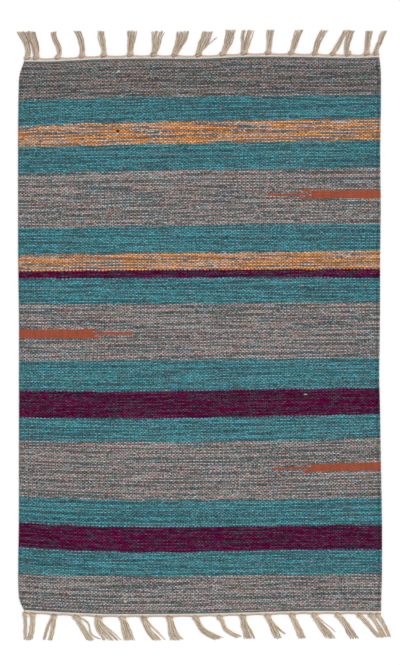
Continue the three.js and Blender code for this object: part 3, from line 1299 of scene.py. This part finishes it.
        flat = (points[:, :2] - points[:, :2].min(axis=0)) * atlas_scale
        upper_map = flat + np.array(atlas_at)
        lower_map = upper_map + np.array([flat[:, 0].max() + self.map_gap * atlas_scale, 0])
        side, low = self.edge_faces(ring, yarns)
        base = self.under_faces(self.x.size + len(ring), yarns)
        skins = [(upper_map, skin) for skin in (*self.top_faces(yarns), side)]
        skins += [(lower_map, skin) for skin in (low, base)]
        patches = []
        for atlas, (faces, slots) in skins:
            faces = faces[:, ::self.flip()]
            patches.append(Patch(faces, weave[faces], atlas[faces], slots))
        pile.add(points * MM, patches)


@dataclass
class WovenField:
    """The striped field between the two headings."""

    outline: Outline = field(default_factory=Outline)
    weave: Weave = field(default_factory=Weave)
    thickness: float = 3.5
    relief: float = 0.7
    edge: float = 0.9
    map_spare: float = 8.0

    def build(self) -> Object:
        """Makes the field and dresses it in its yarns.

        Returns:
            The field's object.
        """
        x, y = self.weave.places(self.outline)
        sheet = WovenSheet(x, y, self.thickness, self.relief, self.edge)
        pile = MeshPile()
        atlas_scale = HALF_MAP / (self.outline.width + self.map_spare)
        sheet.add_to(pile, self.weave.yarns(), (MAP_EDGE, MAP_EDGE), atlas_scale)
        materials = [YARNS[yarn].material() for yarn in Yarn]
        return pile.build("striped_field", materials, self.outline.shift())


@dataclass
class Shelf:
    """Rows of places on a bake map, filled from the left and from below."""

    scale: float
    x: float = MAP_EDGE
    y: float = MAP_EDGE
    tall: float = 0.0
    gap: float = 0.0015

    def take(self, width: float, height: float) -> tuple[float, float]:
        """Takes the next free place.

        Args:
            width: The place's width in millimetres.
            height: The place's height in millimetres.

        Returns:
            The place's lower left corner on the map.
        """
        wide, high = width * self.scale, height * self.scale
        if self.x + wide > 1 - MAP_EDGE:
            self.x = MAP_EDGE
            self.y += self.tall + self.gap
            self.tall = 0.0
        corner = (self.x, self.y)
        self.x += wide + self.gap
        self.tall = max(self.tall, high)
        return corner


@dataclass
class TwistedYarn:
    """A round yarn of two plies along a path, in millimetres."""

    path: np.ndarray
    radius: np.ndarray
    up: np.ndarray
    turn_length: float
    start_turn: float
    number: int
    sides: int = 8
    lobe: float = 0.16

    def skin(self) -> tuple[np.ndarray, np.ndarray]:
        """Works out the rings of points round the path.

        Returns:
            A grid of points by ring and side, and how far along the yarn each ring lies.
        """
        tangent = np.gradient(self.path, axis=0)
        tangent /= np.linalg.norm(tangent, axis=1, keepdims=True)
        side = np.cross(tangent, self.up)
        side /= np.linalg.norm(side, axis=1, keepdims=True)
        normal = np.cross(side, tangent)
        steps = np.linalg.norm(np.diff(self.path, axis=0), axis=1)
        length = np.concatenate([[0], np.cumsum(steps)])
        angle = math.tau * np.arange(self.sides) / self.sides
        ply = angle - math.pi * (length[:, None] / self.turn_length + self.start_turn)
        reach = self.radius[:, None] * (1 + self.lobe * np.cos(2 * ply))
        around = np.cos(angle)[:, None] * side[:, None] + np.sin(angle)[:, None] * normal[:, None]
        return self.path[:, None] + reach[..., None] * around, length

    def add_to(self, pile: MeshPile, shelf: Shelf, slot: int) -> None:
        """Adds the yarn to a pile as one closed tube.

        Args:
            pile: The pile to add to.
            shelf: Where its bake map goes.
            slot: The number of its material.
        """
        skin, length = self.skin()
        radius = float(self.radius.mean())
        girth = math.tau * radius
        corner = np.array(shelf.take(length[-1] + 2 * radius, girth))

        def patch(faces: np.ndarray, at: np.ndarray, around: np.ndarray) -> Patch:
            """Lays faces on both maps.

            Args:
                faces: The faces' corners.
                at: Each corner's length along the yarn.
                around: Each corner's share of the way round it.

            Returns:
                The patch.
            """
            weave = np.stack([at, around + YARN_STRIDE * self.number], -1)
            atlas = corner + np.stack([at + radius, around * girth], -1) * shelf.scale
            return Patch(faces, weave, atlas, slot)

        number = np.arange(len(length) * self.sides).reshape(-1, self.sides)
        after = np.roll(number, -1, axis=1)
        quads = np.stack([number[:-1], after[:-1], after[1:], number[1:]], -1).reshape(-1, 4)
        ring, side = np.indices(number[1:].shape).reshape(2, -1)
        at = length[np.stack([ring, ring, ring + 1, ring + 1], 1)]
        patches = [patch(quads, at, np.stack([side, side + 1, side + 1, side], 1) / self.sides)]

        side = np.arange(self.sides)
        first_cap = (after[0], number[0], side + 1, side, 0.0, -radius)
        last_cap = (number[-1], after[-1], side, side + 1, length[-1], radius)
        for middle, cap in enumerate((first_cap, last_cap), start=number.size):
            one, other, one_side, other_side, end, out = cap
            faces = np.stack([one, other, np.full(self.sides, middle)], 1)
            at = np.tile([end, end, end + out], (self.sides, 1))
            around = np.stack([one_side, other_side, side + 0.5], 1) / self.sides
            patches.append(patch(faces, at, around))
        points = np.concatenate([skin.reshape(-1, 3), self.path[[0, -1]]])
        pile.add(points * MM, patches)


def cubic(values: Sequence[float], t: np.ndarray) -> np.ndarray:
    """Runs a smooth curve through four values.

    Args:
        values: The values at 0, 1/3, 2/3 and 1.
        t: The places to read at, from 0 to 1.

    Returns:
        The curve's value at each place.
    """
    first, second, third, fourth = values
    a = 3 * t
    return (
        -first * (a - 1) * (a - 2) * (a - 3) / 6
        + second * a * (a - 2) * (a - 3) / 2
        - third * a * (a - 1) * (a - 3) / 2
        + fourth * a * (a - 1) * (a - 2) / 6
    )


@dataclass
class Fringe:
    """One end of the rug: the cream heading, its knots and their tassels."""

    name: str
    node: str
    away: int
    heading: float
    first_x: float
    last_x: float
    tassels: Sequence[Lock]
    strays: Sequence[Lock]
    cotton: TasselCotton = TasselCotton()
    outline: Outline = field(default_factory=Outline)

    # The heading
    gap: float = 0.3
    heading_thickness: float = 3.0
    heading_relief: float = 0.7
    heading_edge: float = 0.4
    heading_tooth: float = 0.15
    heading_rows: int = 4
    warp_step: float = 3.0
    scallop_rise: float = 1.6
    scallop_half_width: float = 9.0

    # The knots, whose turns wind between two angles in half circles
    knot_out: float = 7.6
    knot_width: float = 5.6
    knot_width_per_yarn: float = 0.42
    knot_length: float = 7.8
    knot_height: float = 5.4
    knot_turns: int = 4
    knot_points: int = 22
    knot_wind: tuple[float, float] = (-0.6, 1.6)
    knot_least: float = 0.1
    knot_taper: float = 1.5
    knot_slant: float = 0.3
    slant_unevenness: float = 0.3
    turn_widths: tuple[float, float] = (0.95, 1.05)
    turn_thicknesses: tuple[float, float] = (0.95, 1.1)
    turn_inset: float = 1.3
    knot_yarn_radius: float = 0.95

    # The tassels: spreads and waves in millimetres, heights in radii of a yarn
    root_width_share: float = 0.56
    root_step: float = 0.3
    yarn_radius: float = 0.78
    yarn_rings: int = 24
    yarn_turns: tuple[float, float] = (8.0, 11.0)
    yarn_thicknesses: tuple[float, float] = (0.82, 1.0)
    place_unevenness: float = 0.12
    tip_spare: float = 0.5
    tip_unevenness: float = 0.05
    tip_thinning: float = 0.35
    fan_power: float = 0.8
    crossing: float = 0.35
    slow_reach: tuple[float, float] = (0.2, 0.9)
    slow_waves: tuple[float, float] = (0.5, 1.4)
    quick_reach: tuple[float, float] = (0.1, 0.35)
    quick_waves: tuple[float, float] = (2.0, 3.5)
    floor_height: float = 1.17
    layer_height: float = 1.9
    layer_sinking: float = 0.45
    ripple: float = 0.2
    ripple_waves: tuple[float, float] = (0.8, 1.8)
    knot_lift: float = 0.9
    knot_lift_length: float = 0.2

    # The bake map
    map_width: float = 620.0
    map_spare: tuple[float, float] = (12.0, 16.0)

    def __post_init__(self) -> None:
        """Starts the fringe's mesh, its bake map, its random numbers and its count of yarns."""
        self.pile = MeshPile()
        self.shelf = Shelf(scale=HALF_MAP / self.map_width)
        self.rng = np.random.default_rng(SEED + self.away)
        self.count = 0

    def end(self, x: Union[float, np.ndarray]) -> np.ndarray:
        """Gives Y of the field's end under the heading at x."""
        return self.outline.end(self.away, np.asarray(x))

    def knot_span(self, lock: Lock) -> float:
        """Gives the width of the knot that holds a bunch."""
        return self.knot_width + self.knot_width_per_yarn * lock.yarns

    def add_yarn(self, path: np.ndarray, radius: np.ndarray, up: Sequence[float], slot: int) -> None:
        """Adds one yarn with a twist and a number of its own.

        Args:
            path: Its middle line in millimetres.
            radius: Its radius at each point.
            up: A direction that the path never runs along.
            slot: The number of its material.
        """
        self.count += 1
        turn_length, start_turn = self.rng.uniform(*self.yarn_turns), self.rng.random()
        yarn = TwistedYarn(path, radius, np.array(up), turn_length, start_turn, self.count)
        yarn.add_to(self.pile, self.shelf, slot)

    def add_heading(self) -> None:
        """Adds the woven strip whose outer edge is pulled out at every knot."""
        width = self.last_x - self.first_x
        columns = 2 * round(width / (2 * self.warp_step))
        across = np.linspace(self.first_x, self.last_x, columns + 1)
        roots = np.array([tassel.root for tassel in self.tassels])
        nearest = np.abs(across[:, None] - roots[None, :]).min(axis=1)
        pull = self.scallop_rise * np.exp(-((nearest / self.scallop_half_width) ** 2))
        share = np.arange(self.heading_rows + 1)[None, :] / self.heading_rows
        x = np.repeat(across[:, None], self.heading_rows + 1, axis=1)
        out = self.gap + (self.heading + pull - self.gap)[:, None] * share
        y = self.end(x) + self.away * out
        sheet = WovenSheet(
            x, y, self.heading_thickness, self.heading_relief, self.heading_edge, self.heading_tooth
        )
        spare_x, spare_y = self.map_spare
        place = self.shelf.take(2 * width + spare_x, self.heading + spare_y)
        slots = np.full((*x.shape, 2), HEADING_SLOT)
        sheet.add_to(self.pile, slots, place, self.shelf.scale)

    def add_knot(self, tassel: Lock) -> None:
        """Adds the slanting turns of one overhand knot.

        Args:
            tassel: The tassel that the knot holds.
        """
        thick = self.knot_yarn_radius
        width = self.knot_span(tassel)
        middle_y = float(self.end(tassel.root)) + self.away * self.knot_out
        first, last = self.knot_wind
        angle = np.linspace(first * np.pi, last * np.pi, self.knot_points)
        pitch = (self.knot_length - 2 * thick) / (self.knot_turns - 1)
        for turn in range(self.knot_turns):
            offset = (turn - (self.knot_turns - 1) / 2) * pitch
            full = math.sqrt(max(self.knot_least, 1 - (self.knot_taper * offset / self.knot_length) ** 2))
            half_width = (width / 2 - thick) * full * self.rng.uniform(*self.turn_widths)
            half_height = (self.knot_height / 2 - self.turn_inset * thick) * full
            across = half_width * np.cos(angle)
            uneven = self.rng.uniform(-self.slant_unevenness, self.slant_unevenness)
            slant = self.knot_slant * (1 + uneven)
            path = np.stack([
                tassel.root + across,
                middle_y + self.away * (offset + slant * across),
                self.knot_height / 2 + half_height * np.sin(angle),
            ], 1)
            radius = np.full(len(path), thick * self.rng.uniform(*self.turn_thicknesses))
            # The turn next to the heading takes a darker cotton: painted shadow under the heading's edge
            slot = COTTON_SLOT if turn else KNOT_SHADOW_SLOT
            self.add_yarn(path, radius, up=(0.0, 1.0, 0.0), slot=slot)

    def wave(self, t: np.ndarray, waves: tuple[float, float]) -> np.ndarray:
        """Makes a wave along t with a random start and a random number of waves."""
        return np.sin(math.tau * (t * self.rng.uniform(*waves) + self.rng.random()))

    def yarn_path(self, lock: Lock, side: float, layer: int) -> np.ndarray:
        """Works out how one yarn runs from inside the knot to its tip.

        Args:
            lock: The bunch that the yarn belongs to.
            side: Its place across the bunch, from -1 to 1.
            layer: 0 on the floor, or 1 on top of the others.

        Returns:
            Points in millimetres.
        """
        rng = self.rng
        t = np.linspace(0, 1 - self.tip_unevenness * rng.random(), self.yarn_rings)
        out = self.knot_out + (lock.reach + self.tip_spare - self.knot_out) * t
        x = cubic((lock.root, lock.near, lock.far, lock.tip), t)
        y = float(self.end(lock.root)) + self.away * out
        run = np.stack([np.gradient(x), np.gradient(y)])
        run /= np.linalg.norm(run, axis=0)

        half_fan = max(lock.fan / 2 - self.yarn_radius, 0)
        half_root = min(self.root_width_share * self.knot_span(lock) / 2, self.root_step * lock.yarns)
        half = half_root + (half_fan - half_root) * t**self.fan_power
        drift = rng.uniform(-self.crossing, self.crossing) * layer
        slow = rng.uniform(*self.slow_reach) * self.wave(t, self.slow_waves)
        quick = rng.uniform(*self.quick_reach) * self.wave(t, self.quick_waves)
        shift = (side + drift * t) * half + (slow + quick) * np.minimum(1, 3 * t)
        # Near the tips the yarns are set apart along x alone, so that a leaning lock ends level
        level = np.clip(2.5 * t - 1.5, 0, 1) * min(1, 1.6 * abs(run[1, -1]))
        across = self.away * run[1] * (1 - level) + level / np.maximum(self.away * run[1], 0.5)
        x, y = x + across * shift, y - self.away * run[0] * (1 - level) * shift

        low = self.floor_height * self.yarn_radius
        hump = self.layer_height * self.yarn_radius * layer * (1 - self.layer_sinking * t)
        ripple = 1 + self.ripple * self.wave(t, self.ripple_waves)
        out_of_knot = self.knot_lift * np.exp(-((t / self.knot_lift_length) ** 2))
        return np.stack([x, y, low + hump * ripple + out_of_knot], 1)

    def add_lock(self, lock: Lock) -> None:
        """Adds the yarns of one bunch, in two layers, thinner at their ends.

        Args:
            lock: The bunch to make.
        """
        lower = (lock.yarns + 1) // 2
        t = np.linspace(0, 1, self.yarn_rings)
        for index in range(lock.yarns):
            layer = int(index >= lower)
            place, places = (index - lower, lock.yarns - lower) if layer else (index, lower)
            side = (2 * place + 1) / places - 1
            side += self.rng.uniform(-self.place_unevenness, self.place_unevenness)
            path = self.yarn_path(lock, side, layer)
            thickness = self.rng.uniform(*self.yarn_thicknesses)
            radius = self.yarn_radius * thickness * (1 - self.tip_thinning * t**6)
            self.add_yarn(path, radius, up=(0.0, 0.0, 1.0), slot=COTTON_SLOT)

    def build(self) -> Object:
        """Makes the heading, knots and tassels as one piece.

        Returns:
            The fringe's object.
        """
        self.add_heading()
        for tassel in self.tassels:
            self.add_knot(tassel)
            self.add_lock(tassel)
        for stray in self.strays:
            self.add_lock(stray)
        LOG.info("%s: bake map filled to %.2f", self.name, self.shelf.y + self.shelf.tall)
        # Darker cotton that paints the shadow under the heading onto each knot's first turn
        shaded = TasselCotton("knot_painted_shadow", pale="c2a688", tan="a5876a", brown="8d7059")
        materials = [HeadingCotton().material(), self.cotton.material(), shaded.material()]
        return self.pile.build(self.name, materials, self.outline.shift())


@dataclass
class Studio:
    """The plain floor, soft light and camera."""

    frame_height: float = 1.1019
    look_x: float = -0.00784
    look_y: float = 0.00605
    look_z: float = 0.003
    lens: float = 135.0
    sensor: float = 36.0
    floor_size: float = 8.0
    floor_colour: str = "fcfcfc"
    floor_roughness: float = 0.9
    floor_specular: float = 0.1
    sky: float = 0.62
    sun: float = 1.75
    sun_angle: float = 28.0
    sun_towards: tuple[float, float, float] = (-0.75, -0.35, -1.0)

    def add_floor(self) -> None:
        """Lays the pale floor under the rug."""
        half = self.floor_size / 2
        mesh = bpy.data.meshes.new("studio_floor")
        corners = [(-half, -half, 0), (half, -half, 0), (half, half, 0), (-half, half, 0)]
        mesh.from_pydata(corners, [], [(0, 1, 2, 3)])
        floor = add_object("studio_floor", mesh)
        material = bpy.data.materials.new("studio_floor")
        material.use_nodes = True
        shader = material.node_tree.nodes["Principled BSDF"]
        shader.inputs["Base Color"].default_value = linear(self.floor_colour)
        shader.inputs["Roughness"].default_value = self.floor_roughness
        shader.inputs["Specular IOR Level"].default_value = self.floor_specular
        mesh.materials.append(material)

    def add_light(self) -> None:
        """Lights the rug evenly from all round, and a little more from the upper right."""
        world = bpy.data.worlds.new("studio")
        bpy.context.scene.world = world
        world.use_nodes = True
        background = world.node_tree.nodes["Background"]
        background.inputs["Color"].default_value = (1, 1, 1, 1)
        background.inputs["Strength"].default_value = self.sky
        lamp = bpy.data.lights.new("soft_key", "SUN")
        lamp.energy = self.sun
        lamp.angle = math.radians(self.sun_angle)
        key = add_object("soft_key", lamp)
        key.rotation_euler = Vector(self.sun_towards).to_track_quat("-Z", "Y").to_euler()

    def add_camera(self) -> None:
        """Hangs the camera straight over the rug."""
        camera = bpy.data.cameras.new("overhead")
        camera.lens = self.lens
        camera.sensor_width = self.sensor
        view = add_object("overhead", camera)
        height = self.look_z + self.frame_height * self.lens / self.sensor
        view.location = (self.look_x, self.look_y, height)
        bpy.context.scene.camera = view

    def build(self) -> None:
        """Sets up the floor, light and camera, with true colours."""
        self.add_floor()
        self.add_light()
        self.add_camera()
        bpy.context.scene.view_settings.view_transform = "Standard"


def main() -> None:
    """Builds the rug piece by piece, logging each piece's corners and faces."""
    logging.basicConfig(level=logging.INFO, format="%(name)s: %(message)s")
    Studio().build()
    upper = Fringe(
        "upper_tassels",
        "upper_fringe",
        away=1,
        heading=5.8,
        first_x=-291,
        last_x=297.5,
        tassels=UPPER_TASSELS,
        strays=UPPER_STRAYS,
    )
    lower = Fringe(
        "lower_tassels",
        "lower_fringe",
        away=-1,
        heading=5.2,
        first_x=-291,
        last_x=300,
        tassels=LOWER_TASSELS,
        strays=LOWER_STRAYS,
        # A lighter copy of the tassel cotton, as the lower tassels are lighter
        cotton=TasselCotton("lower_end_cotton", pale="d6c6b0", tan="ccb79d", brown="aa9277", brightness=0.87),
    )
    for fringe in (upper, lower):
        piece = fringe.build()
        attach(piece, "root")
        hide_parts(fringe.node)
    cloth = WovenField().build()
    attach(cloth, "root")
    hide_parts("woven_field")


if __name__ == "__main__":
    main()
